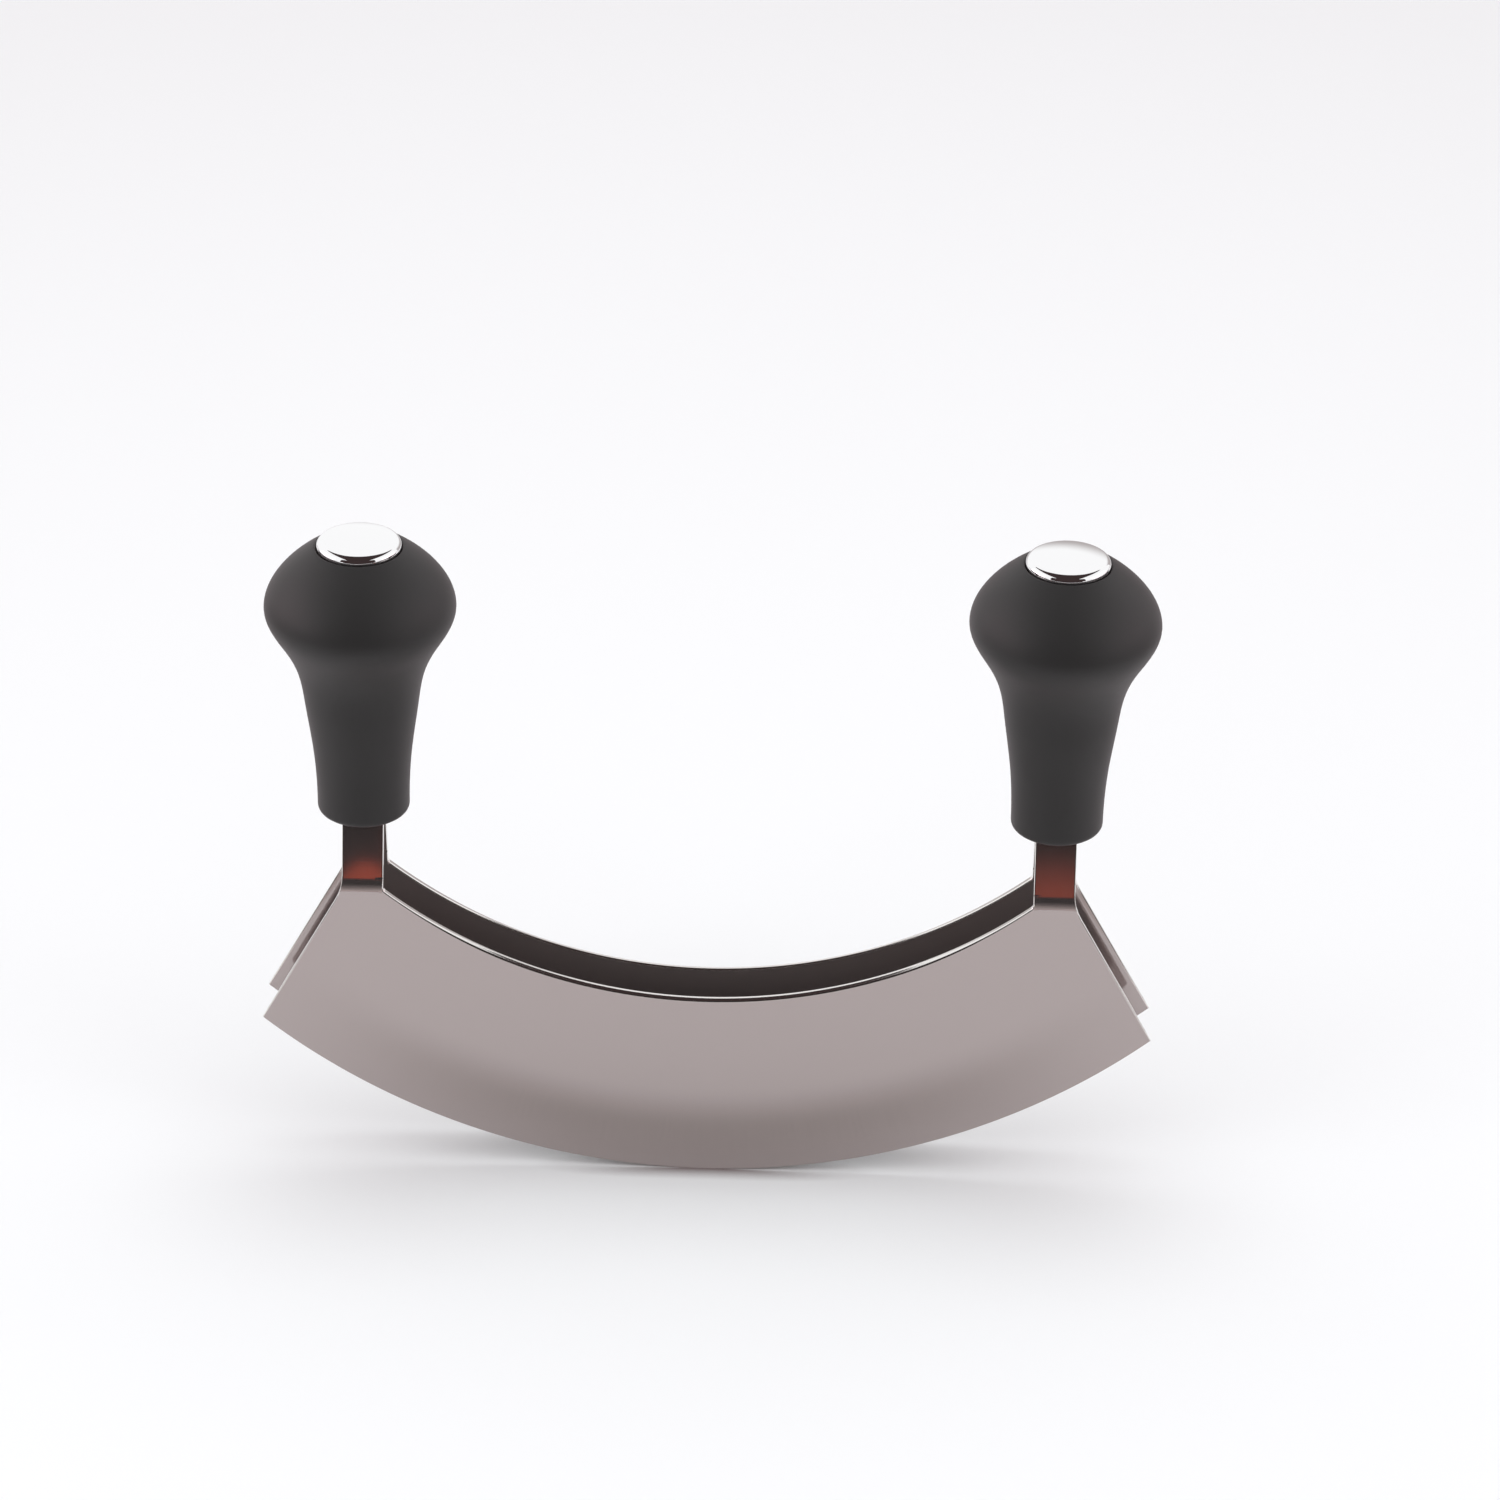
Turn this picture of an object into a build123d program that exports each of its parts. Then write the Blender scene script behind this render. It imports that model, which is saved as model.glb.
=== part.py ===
from build123d import *

import math
import os

# Double-bladed rocking chopper, in millimetres.
# Origin on the board under the middle of the tool, X along the blades, Y across them, Z up.
# The front blade is on the -Y side.

# Crescent, as seen from the front
EDGE_CHORD = 200.0  # straight length from corner to corner of the cutting edge
EDGE_RISE = 37.4  # height of the corners above the lowest point of the edge
CRESCENT_HEIGHT = 45.2  # height of the blade in the middle
END_HEIGHT = 33.8  # from a corner up to where the slanted end would reach the tang
SHOULDER_RADIUS = 12.0  # between the slanted end and the tang
INNER_CORNER_RADIUS = 1.2  # between the top arc and the tang

# Sheet and tangs, as seen from the end
SHEET = 1.5
BLADES_OVERALL = 14.8  # over the outer faces of the two blades
TANGS_OVERALL = 6.0  # over the outer faces of the two tangs inside a handle
TANG_WIDTH = 9.2
TANG_INSERT = 24.0  # length of tang inside the handle
BEND_LIFT = 0.7  # from the shoulder up to where the tang starts to lean inwards
LEAN_HEIGHT = 16.4  # from that bend up to the handle, where the tang is upright again
BEND_RADIUS = 7.0  # inside radius of the lower bend
UPPER_BEND_RADIUS = 3.0  # inside radius of the bend back to upright
CONTOUR_ROUND = 0.5  # rounding of the outer face along the contour

# Ground taper along the cutting edge, mostly on the inner face
TAPER_WIDTH = 15.0
OUTER_TAPER_DEPTH = 0.3
BEVEL_HEIGHT = 0.8
BEVEL_THICKNESS = 0.45  # sheet left where the inner taper meets the bevel
EDGE_THICKNESS = 0.1

# Handle, heights measured from its base
HANDLE_INSET = 23.1  # from the blade's corner in to the handle's axis, along X
BASE_RADIUS = 10.2
BASE_ROUND = 1.5
BULB_HEIGHT = 50.5  # height of the widest point
BULB_RADIUS = 21.0
CROWN_HEIGHT = 14.4  # from the widest point up to the lip round the cap
LIP_WIDTH = 0.4
GRIP_THICKNESS = 1.8  # thickness of the soft skin
SLOT_CLEARANCE = 0.15  # round the tangs in their slot

# Flare from the base to the bulb, as shares of the height and of the growth in radius
FLARE_HEIGHT_SHARES = (0.29, 0.53, 0.70, 0.83)
FLARE_RADIUS_SHARES = (0.060, 0.212, 0.360, 0.640)
# Crown from the bulb to the lip: one point between, and the slope at the lip
CROWN_HEIGHT_SHARE = 0.54
CROWN_RADIUS_SHARE = 0.695
LIP_SLOPE_SHARE = 1.5  # fall in radius for a unit of height

# End cap
CAP_RADIUS = 9.3
CAP_WALL_HEIGHT = 1.3  # upright wall from the seal to the rounded shoulder
CAP_SHOULDER_RADIUS = 1.5
CAP_DOME_SLOPE = 14.0  # degrees, where the dome meets the shoulder
CAP_SKIN = 0.8
CAP_SKIRT_DEPTH = 4.0
CAP_FIT = 0.05  # between the skirt and its pocket
CAP_SEAM = 0.35  # between the cap and the lip of the grip
CAP_SINK = 1.0  # from the lip down to the seal that the cap sits on

# Seal ring under the cap
SEAL_THICKNESS = 0.6
SEAL_WALL = 1.7
SEAL_FIT = 0.05

# Fasteners
STUD_RADIUS = 3.0
STUD_BORE_CLEARANCE = 0.2
STUD_END = 1.2  # stud standing past the nut
STUD_CHAMFER = 0.5
RIVET_RADIUS = 1.5
RIVET_HEAD_RADIUS = 2.4
RIVET_LOW = 7.0  # height of the lower rivet above the base
RIVET_PITCH = 10.0
RIVET_COUNT = 2
POCKET_DEPTH = 12.8  # from the seal's seat down to the washer's floor
POCKET_RADIUS = 7.0
WASHER_RADIUS = 6.0
WASHER_HOLE_CLEARANCE = 0.2
WASHER_THICKNESS = 1.6
LOCK_WASHER_RADIUS = 5.5
LOCK_WASHER_THICKNESS = 1.6
LOCK_WASHER_GAP = 1.6
NUT_ACROSS_FLATS = 10.0
NUT_HEIGHT = 5.0
NUT_SIDES = 6
NUT_CHAMFER_ANGLE = 30.0
THREAD_GAP = 0.05

# How far cutting tools run past the material
OVERRUN = 2.0

# A face whose normal leans less than 60 degrees from straight ahead is on the outer side
OUTWARD_COSINE = 0.5

# Worked out from the sizes above
EDGE_RADIUS = ((EDGE_CHORD / 2) ** 2 + EDGE_RISE**2) / (2 * EDGE_RISE)
HANDLE_X = EDGE_CHORD / 2 - HANDLE_INSET
TANG_INNER_X = HANDLE_X - TANG_WIDTH / 2
TANG_OUTER_X = HANDLE_X + TANG_WIDTH / 2
SHOULDER_HEIGHT = EDGE_RISE + END_HEIGHT
BEND_HEIGHT = SHOULDER_HEIGHT + BEND_LIFT
HANDLE_BASE = BEND_HEIGHT + LEAN_HEIGHT
TANG_TOP = HANDLE_BASE + TANG_INSERT
OUTER_FACE = BLADES_OVERALL / 2
EDGE_FACE = OUTER_TAPER_DEPTH - OUTER_FACE
TANG_FACE = TANGS_OVERALL / 2
TONGUE_THICKNESS = TANGS_OVERALL - 2 * SHEET
LIP_BORE = CAP_RADIUS + CAP_SEAM
GRIP_HEIGHT = BULB_HEIGHT + CROWN_HEIGHT
CAP_SEAT = GRIP_HEIGHT - CAP_SINK
SEAL_SEAT = CAP_SEAT - SEAL_THICKNESS
POCKET_FLOOR = SEAL_SEAT - POCKET_DEPTH
SKIRT_RADIUS = POCKET_RADIUS - CAP_FIT


def spin(*lines):
    """Turn a closed half outline in the XZ plane into a solid about the Z axis."""
    return revolve(make_face(lines), Axis.Z)


def rod(radius, low, high):
    """Round rod about the Z axis between two heights."""
    return Pos(0, 0, (low + high) / 2) * Cylinder(radius, high - low)


def ring(outer, inner, low, high):
    """Flat ring about the Z axis between two heights."""
    return rod(outer, low, high) - rod(inner, low, high)


# Blades


def tang_feet(face, distance):
    """Corners of the outline at the height where the tangs start, left and right."""
    feet = face.vertices().filter_by(lambda v: math.isclose(v.Z, SHOULDER_HEIGHT))
    return feet.filter_by(lambda v: math.isclose(abs(v.X), distance))


def crescent_outline():
    """Front view of one blade: the crescent and its two upright tangs."""
    half = EDGE_CHORD / 2
    edge = ThreePointArc((-half, 0, EDGE_RISE), (0, 0, 0), (half, 0, EDGE_RISE))
    right_side = Polyline(
        (half, 0, EDGE_RISE),
        (TANG_OUTER_X, 0, SHOULDER_HEIGHT),
        (TANG_OUTER_X, 0, TANG_TOP),
        (TANG_INNER_X, 0, TANG_TOP),
        (TANG_INNER_X, 0, SHOULDER_HEIGHT),
    )
    left_inner = (-TANG_INNER_X, 0, SHOULDER_HEIGHT)
    top_arc = ThreePointArc(right_side @ 1, (0, 0, CRESCENT_HEIGHT), left_inner)
    left_side = mirror(right_side, Plane.YZ)
    face = make_face([edge, *right_side.edges(), top_arc, *left_side.edges()]).face()
    face = face.fillet_2d(SHOULDER_RADIUS, tang_feet(face, TANG_OUTER_X))
    return face.fillet_2d(INNER_CORNER_RADIUS, tang_feet(face, TANG_INNER_X))


def folded_sheet():
    """End view of the front blade's sheet, upright, leaning inwards, then upright, drawn along X."""
    lean = math.atan2(OUTER_FACE - TANG_FACE, HANDLE_BASE - BEND_HEIGHT)
    drop = SHEET * math.tan(lean / 2)
    outer = FilletPolyline(
        (0, -OUTER_FACE, -OVERRUN),
        (0, -OUTER_FACE, BEND_HEIGHT),
        (0, -TANG_FACE, HANDLE_BASE),
        (0, -TANG_FACE, TANG_TOP),
        radius=(BEND_RADIUS + SHEET, UPPER_BEND_RADIUS),
    )
    inner = FilletPolyline(
        (0, SHEET - OUTER_FACE, -OVERRUN),
        (0, SHEET - OUTER_FACE, BEND_HEIGHT - drop),
        (0, SHEET - TANG_FACE, HANDLE_BASE - drop),
        (0, SHEET - TANG_FACE, TANG_TOP),
        radius=(BEND_RADIUS, UPPER_BEND_RADIUS + SHEET),
    )
    ends = [Line(outer @ 0, inner @ 0), Line(outer @ 1, inner @ 1)]
    section = make_face([*outer.edges(), *inner.edges(), *ends])
    return extrude(section, EDGE_CHORD / 2 + OVERRUN, dir=(1, 0, 0), both=True)


def edge_grinder(face, away, *ground):
    """Ring that grinds one face down to the edge, centred on the edge's own arc."""
    line = ground[-1] @ 1
    beyond = face + away * OVERRUN
    rest = Polyline(
        line,
        (0, line.Y, -OVERRUN),
        (0, beyond, -OVERRUN),
        (0, beyond, TAPER_WIDTH),
        (0, face, TAPER_WIDTH),
    )
    section = make_face([*ground, *rest.edges()])
    return revolve(section, Axis((0, 0, EDGE_RADIUS), (0, 1, 0)))


def outer_grinder():
    """Shallow curved taper on the outer face."""
    face = -OUTER_FACE
    taper = TangentArc((0, face, TAPER_WIDTH), (0, EDGE_FACE, 0), tangent=(0, 0, -1))
    return edge_grinder(face, -1, taper)


def inner_grinder():
    """Deeper curved taper on the inner face, with a narrow bevel at the edge."""
    face = SHEET - OUTER_FACE
    bevel_start = (0, EDGE_FACE + BEVEL_THICKNESS, BEVEL_HEIGHT)
    taper = TangentArc((0, face, TAPER_WIDTH), bevel_start, tangent=(0, 0, -1))
    bevel = Line(bevel_start, (0, EDGE_FACE + EDGE_THICKNESS, 0))
    return edge_grinder(face, 1, taper, bevel)


def make_front_blade(rivets):
    """Front blade with its two tangs, rounded along the outer contour and ground to an edge."""
    plate = extrude(crescent_outline(), OUTER_FACE + OVERRUN, dir=(0, -1, 0))
    blade = plate & folded_sheet()
    blade = fillet(outer_contour(blade), CONTOUR_ROUND)
    return blade - outer_grinder() - inner_grinder() - rivets


def on_edge_arc(edge):
    """True for an edge that lies on the cutting edge's arc."""
    middle = edge @ 0.5
    return math.isclose(math.hypot(middle.X, middle.Z - EDGE_RADIUS), EDGE_RADIUS, rel_tol=1e-6)


def outer_contour(blade):
    """Contour of the blade's outer side, without the cutting edge and the tops of the tangs."""
    outside = [face for face in blade.faces() if face.normal_at().Y < -OUTWARD_COSINE]
    edges = [edge for face in outside for edge in face.edges()]
    contour = [edge for edge in edges if edges.count(edge) == 1 and not on_edge_arc(edge)]
    return [edge for edge in contour if (edge @ 0.5).Z < TANG_TOP - CONTOUR_ROUND]


# Fasteners


def make_rivets():
    """Rivets of one handle, flush with both tangs: a shank and two countersunk heads each."""
    head_depth = RIVET_HEAD_RADIUS - RIVET_RADIUS
    head = Pos(0, 0, TANG_FACE - head_depth / 2) * Cone(RIVET_RADIUS, RIVET_HEAD_RADIUS, head_depth)
    rivet = Cylinder(RIVET_RADIUS, TANGS_OVERALL) + head + mirror(head, Plane.XY)
    rivet = Rot(90, 0, 0) * rivet
    low = HANDLE_BASE + RIVET_LOW
    return [Pos(0, 0, low + count * RIVET_PITCH) * rivet for count in range(RIVET_COUNT)]


def make_stud(rivets):
    """Stud with a flat tongue between the tangs and a round shank up to the nut."""
    tongue_height = TANG_INSERT - GRIP_THICKNESS
    tongue = Pos(0, 0, TANG_TOP - tongue_height / 2) * Box(
        TANG_WIDTH, TONGUE_THICKNESS, tongue_height
    )
    nut_top = POCKET_FLOOR + WASHER_THICKNESS + LOCK_WASHER_THICKNESS + NUT_HEIGHT
    shank = rod(STUD_RADIUS, TANG_TOP, HANDLE_BASE + nut_top + STUD_END)
    shank = chamfer(shank.edges().sort_by(Axis.Z)[-1], STUD_CHAMFER)
    return tongue + shank - rivets


def make_flat_washer():
    """Washer on the floor of the pocket."""
    low = HANDLE_BASE + POCKET_FLOOR
    return ring(WASHER_RADIUS, STUD_RADIUS + WASHER_HOLE_CLEARANCE, low, low + WASHER_THICKNESS)


def make_lock_washer():
    """Split spring washer, pressed flat."""
    low = HANDLE_BASE + POCKET_FLOOR + WASHER_THICKNESS
    high = low + LOCK_WASHER_THICKNESS
    body = ring(LOCK_WASHER_RADIUS, STUD_RADIUS + WASHER_HOLE_CLEARANCE, low, high)
    gap = Pos(LOCK_WASHER_RADIUS / 2, 0, (low + high) / 2) * Box(
        LOCK_WASHER_RADIUS + OVERRUN, LOCK_WASHER_GAP, LOCK_WASHER_THICKNESS
    )
    return body - gap


def make_nut():
    """Hexagon nut with its corners chamfered above and below."""
    low = HANDLE_BASE + POCKET_FLOOR + WASHER_THICKNESS + LOCK_WASHER_THICKNESS
    flat = NUT_ACROSS_FLATS / 2
    corner = flat / math.cos(math.pi / NUT_SIDES)
    fall = (corner - flat) * math.tan(math.radians(NUT_CHAMFER_ANGLE))
    prism = extrude(RegularPolygon(corner, NUT_SIDES), NUT_HEIGHT)
    outline = Polyline(
        (0, 0, 0),
        (flat, 0, 0),
        (corner, 0, fall),
        (corner, 0, NUT_HEIGHT - fall),
        (flat, 0, NUT_HEIGHT),
        (0, 0, NUT_HEIGHT),
        close=True,
    )
    rounded = prism & spin(*outline.edges())
    bore = Pos(0, 0, NUT_HEIGHT / 2) * Cylinder(STUD_RADIUS + THREAD_GAP, NUT_HEIGHT)
    return Pos(0, 0, low) * (rounded - bore)


# Handle


def flare_line(base, base_radius, bulb_radius):
    """Line from near the base up to the widest point of the bulb."""
    height = BULB_HEIGHT - base
    growth = bulb_radius - base_radius
    points = [(base_radius, 0, base + BASE_ROUND)]
    for height_share, radius_share in zip(FLARE_HEIGHT_SHARES, FLARE_RADIUS_SHARES):
        points.append((base_radius + radius_share * growth, 0, base + height_share * height))
    points.append((bulb_radius, 0, BULB_HEIGHT))
    return Spline(*points, tangents=[(0, 0, 1), (0, 0, 1)])


def crown_line(bulb_radius, top_radius, top):
    """Line from the widest point of the bulb in to the lip."""
    height = top - BULB_HEIGHT
    fall = bulb_radius - top_radius
    middle = (top_radius + CROWN_RADIUS_SHARE * fall, 0, BULB_HEIGHT + CROWN_HEIGHT_SHARE * height)
    return Spline(
        (bulb_radius, 0, BULB_HEIGHT),
        middle,
        (top_radius, 0, top),
        tangents=[(0, 0, 1), (-LIP_SLOPE_SHARE, 0, 1)],
    )


def handle_shape(base, base_radius, bulb_radius, top_radius, top):
    """Solid of revolution with a rounded base, a flared shaft and a bulb."""
    flare = flare_line(base, base_radius, bulb_radius)
    crown = crown_line(bulb_radius, top_radius, top)
    base_start = (base_radius - BASE_ROUND, 0, base)
    rounding = TangentArc(base_start, flare @ 0, tangent=(1, 0, 0))
    inside = Polyline(crown @ 1, (0, 0, top), (0, 0, base), base_start)
    return spin(rounding, flare, crown, *inside.edges())


def outer_shape():
    """Outside of the grip."""
    return handle_shape(0, BASE_RADIUS, BULB_RADIUS, LIP_BORE + LIP_WIDTH, GRIP_HEIGHT)


def inner_shape():
    """Outside of the rigid core, one skin thickness inside the grip."""
    return handle_shape(
        GRIP_THICKNESS,
        BASE_RADIUS - GRIP_THICKNESS,
        BULB_RADIUS - GRIP_THICKNESS,
        LIP_BORE,
        SEAL_SEAT,
    )


def tang_slot():
    """Slot for both tangs: clear of them all round, and seated on their tops."""
    width = TANG_WIDTH + 2 * SLOT_CLEARANCE
    depth = TANGS_OVERALL + 2 * SLOT_CLEARANCE
    height = TANG_INSERT + OVERRUN
    return Pos(0, 0, height / 2 - OVERRUN) * Box(width, depth, height)


def make_grip():
    """Soft skin over the core, with the slot for the tangs and the opening for the cap."""
    opening = rod(LIP_BORE, SEAL_SEAT, GRIP_HEIGHT + OVERRUN)
    return Pos(0, 0, HANDLE_BASE) * (outer_shape() - inner_shape() - opening - tang_slot())


def make_core():
    """Rigid core with the tang slot, the bore for the stud and the pocket for the nut."""
    bore = rod(STUD_RADIUS + STUD_BORE_CLEARANCE, TANG_INSERT, POCKET_FLOOR + OVERRUN)
    pocket = rod(POCKET_RADIUS, POCKET_FLOOR, SEAL_SEAT + OVERRUN)
    return Pos(0, 0, HANDLE_BASE) * (inner_shape() - tang_slot() - bore - pocket)


def make_seal():
    """Ring that the cap sits on, seen as the dark line round it."""
    outer = LIP_BORE - SEAL_FIT
    return Pos(0, 0, HANDLE_BASE) * ring(outer, outer - SEAL_WALL, SEAL_SEAT, CAP_SEAT)


def make_cap():
    """Domed cap: upright wall, rounded shoulder, shallow dome and a skirt in the pocket."""
    slope = math.radians(CAP_DOME_SLOPE)
    wall_top = CAP_SEAT + CAP_WALL_HEIGHT
    shoulder_centre = CAP_RADIUS - CAP_SHOULDER_RADIUS
    shoulder_end = (
        shoulder_centre + CAP_SHOULDER_RADIUS * math.sin(slope),
        0,
        wall_top + CAP_SHOULDER_RADIUS * math.cos(slope),
    )
    dome_rise = shoulder_end[0] * math.tan(slope / 2)
    apex = (0, 0, shoulder_end[2] + dome_rise)
    ceiling = shoulder_end[2] - CAP_SKIN
    skirt_inside = SKIRT_RADIUS - CAP_SKIN
    skirt_end = CAP_SEAT - CAP_SKIRT_DEPTH
    wall = Line((CAP_RADIUS, 0, CAP_SEAT), (CAP_RADIUS, 0, wall_top))
    shoulder = TangentArc(wall @ 1, shoulder_end, tangent=(0, 0, 1))
    dome = TangentArc(apex, shoulder_end, tangent=(1, 0, 0))
    inside = Polyline(
        apex,
        (0, 0, ceiling),
        (skirt_inside, 0, ceiling),
        (skirt_inside, 0, skirt_end),
        (SKIRT_RADIUS, 0, skirt_end),
        (SKIRT_RADIUS, 0, CAP_SEAT),
        wall @ 0,
    )
    return Pos(0, 0, HANDLE_BASE) * spin(wall, shoulder, dome, *inside.edges())


def make_handle_pieces():
    """Pieces of one handle, about the Z axis, by name."""
    rivets = make_rivets()
    return {
        "grip": make_grip(),
        "handle_core": make_core(),
        "tang_stud": make_stud(rivets),
        "tang_rivets": Compound(rivets),
        "flat_washer": make_flat_washer(),
        "lock_washer": make_lock_washer(),
        "hex_nut": make_nut(),
        "cap_seal": make_seal(),
        "end_cap": make_cap(),
    }


def make_parts():
    """Every piece of the tool in its place, by node name."""
    sides = {"left": -HANDLE_X, "right": HANDLE_X}
    handle = make_handle_pieces()
    rivets = [Pos(x, 0, 0) * rivet for x in sides.values() for rivet in make_rivets()]
    front = make_front_blade(rivets)
    parts = {"front_blade": front, "rear_blade": mirror(front, Plane.XZ)}
    for side, x in sides.items():
        for name, piece in handle.items():
            parts[f"{side}_{name}"] = Pos(x, 0, 0) * piece
    return parts


os.makedirs("parts", exist_ok=True)
for node, shape in make_parts().items():
    export_step(shape, f"parts/{node}.step")
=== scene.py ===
import logging
import math
from dataclasses import dataclass
from enum import Enum, IntEnum
from typing import Any

import bmesh
import bpy
from mathutils import Matrix, Vector


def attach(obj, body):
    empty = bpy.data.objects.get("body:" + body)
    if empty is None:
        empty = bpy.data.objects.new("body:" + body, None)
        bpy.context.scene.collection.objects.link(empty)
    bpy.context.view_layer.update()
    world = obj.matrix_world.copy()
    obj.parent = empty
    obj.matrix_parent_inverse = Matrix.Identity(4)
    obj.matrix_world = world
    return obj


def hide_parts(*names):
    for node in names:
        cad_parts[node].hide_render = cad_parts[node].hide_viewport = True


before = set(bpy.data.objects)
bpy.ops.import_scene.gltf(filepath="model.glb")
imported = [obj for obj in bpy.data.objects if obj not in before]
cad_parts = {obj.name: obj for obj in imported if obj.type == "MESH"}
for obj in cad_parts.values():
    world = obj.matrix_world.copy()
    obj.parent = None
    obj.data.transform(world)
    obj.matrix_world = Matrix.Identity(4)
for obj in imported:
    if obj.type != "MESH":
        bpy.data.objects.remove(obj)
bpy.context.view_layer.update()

# A double-bladed mezzaluna on a pale floor. The object's sizes are in millimetres, those of the
# stage in metres, like Blender's scene.

Tree = bpy.types.NodeTree
Socket = bpy.types.NodeSocket
Material = bpy.types.Material
Work = bmesh.types.BMesh
Point = tuple[float, float]
Place = tuple[float, float, float]
Line = list[Point]

MM = 0.001
FULL_TURN = 2 * math.pi
QUARTER = math.pi / 2
SNAP = 1e-5  # a cut this close to a point goes through it, in millimetres
WELD = 1e-4  # points closer than this are one
NEAR = 1e-2  # points this close to a line of the outline lie on it
FACE_NORMAL = 0.9  # share of its normal across the tool that a blade's outer or inner face has
RIM_PRODUCT = 0.5  # the normals of two faces that meet at a rim have a smaller product
SHARP_ANGLE = math.radians(35)
RIM_SEGMENTS = 5
SPLINE_SWEEPS = 200
ROUNDING_ERROR = 1e-9
BUMP_HEIGHT = 0.02  # of the grain and of the grips' texture, in millimetres
DECIMALS = 4  # levels of the flat sheet that agree in so many are one
log = logging.getLogger("mezzaluna")


class Face(IntEnum):
    """Material numbers on a blade."""

    OUTER = 0
    RIM = 1
    INNER = 2


class Side(Enum):
    """Which blade: the front one or its mirror image behind it."""

    FRONT = -1
    REAR = 1


class Hand(Enum):
    """Which handle, by its place along the blades."""

    LEFT = -1
    RIGHT = 1


# Colours and nodes


def linear(code: str) -> tuple[float, float, float, float]:
    """Turns an sRGB hex colour to linear.

    Args:
        code: six hex digits, with or without a leading #.

    Returns:
        Red, green, blue and an alpha of 1.
    """
    code = code.lstrip("#")
    shares = [int(code[i : i + 2], 16) / 255 for i in (0, 2, 4)]
    curve = [s / 12.92 if s <= 0.04045 else ((s + 0.055) / 1.055) ** 2.4 for s in shares]
    return (*curve, 1.0)


def add_node(
    tree: Tree,
    kind: str,
    inputs: dict[str | int, Any] | None = None,
    settings: dict[str, Any] | None = None,
) -> bpy.types.Node:
    """Adds a node with its links and its settings.

    Args:
        tree: node tree that gets the node.
        kind: the node's type name, without ShaderNode.
        inputs: for each input socket, a value or the output socket that feeds it.
        settings: values for the node's own properties.

    Returns:
        The new node.
    """
    made = tree.nodes.new(f"ShaderNode{kind}")
    for name, value in (settings or {}).items():
        setattr(made, name, value)
    for name, value in (inputs or {}).items():
        if isinstance(value, Socket):
            tree.links.new(value, made.inputs[name])
        else:
            made.inputs[name].default_value = value
    return made


def new_material(name: str) -> tuple[Material, Tree]:
    """Makes an empty node material.

    Args:
        name: the finish's name.

    Returns:
        The material and its node tree.
    """
    material = bpy.data.materials.new(name)
    material.use_nodes = True
    material.node_tree.nodes.clear()
    return material, material.node_tree


def show(tree: Tree, shader: bpy.types.Node) -> None:
    """Feeds a shader to the material's surface."""
    add_node(tree, "OutputMaterial", {"Surface": shader.outputs[0]})


def own_place(tree: Tree) -> Socket:
    """Place of the shaded point on its object, in metres."""
    return add_node(tree, "TexCoord").outputs["Object"]


def split(tree: Tree, place: Socket) -> bpy.types.NodeOutputs:
    """X, Y and Z of a place."""
    return add_node(tree, "SeparateXYZ", {"Vector": place}).outputs


def calc(tree: Tree, operation: str, *values: Any) -> Socket:
    """Result of an operation on numbers and sockets, in the order of the Math node's inputs."""
    return add_node(tree, "Math", dict(enumerate(values)), {"operation": operation}).outputs[0]


def hypot(tree: Tree, *sides: Socket) -> Socket:
    """Length of the slanted side over two sides at right angles."""
    squares = [calc(tree, "MULTIPLY", side, side) for side in sides]
    return calc(tree, "SQRT", calc(tree, "ADD", *squares))


def smooth_step(tree: Tree, value: Socket, low: float, high: float) -> Socket:
    """Soft ramp of a value: 0 at low and 1 at high, which may be the smaller one."""
    ends = {"Value": value, "From Min": low, "From Max": high, "To Min": 0.0, "To Max": 1.0}
    return add_node(tree, "MapRange", ends, {"interpolation_type": "SMOOTHSTEP"}).outputs[0]


def swing(tree: Tree, value: Socket, middle: float, reach: float) -> Socket:
    """Spreads a value from 0 to 1 evenly round a middle, over a reach."""
    return calc(tree, "MULTIPLY_ADD", value, reach, middle - reach / 2)


def mix_tones(tree: Tree, share: Socket, first: Any, second: Any) -> Socket:
    """Mix of two colours, each a hex code or a socket."""
    pair = [linear(tone) if isinstance(tone, str) else tone for tone in (first, second)]
    return add_node(tree, "MixRGB", {"Fac": share, "Color1": pair[0], "Color2": pair[1]}).outputs[0]


def noise(tree: Tree, place: Socket, scale: float, detail: float) -> Socket:
    """Noise from 0 to 1 at a place."""
    inputs = {"Vector": place, "Scale": scale, "Detail": detail}
    return add_node(tree, "TexNoise", inputs).outputs[0]


def bump(tree: Tree, height: Socket, strength: float) -> Socket:
    """Normal of a surface that is raised by a height from 0 to 1."""
    inputs = {"Strength": strength, "Distance": BUMP_HEIGHT * MM, "Height": height}
    return add_node(tree, "Bump", inputs).outputs[0]


def emission(tree: Tree, tone: Any, strength: Any = 1.0) -> bpy.types.Node:
    """Light of a linear colour and a strength, each a value or a socket."""
    return add_node(tree, "Emission", {"Color": tone, "Strength": strength})


# Finishes


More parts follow.
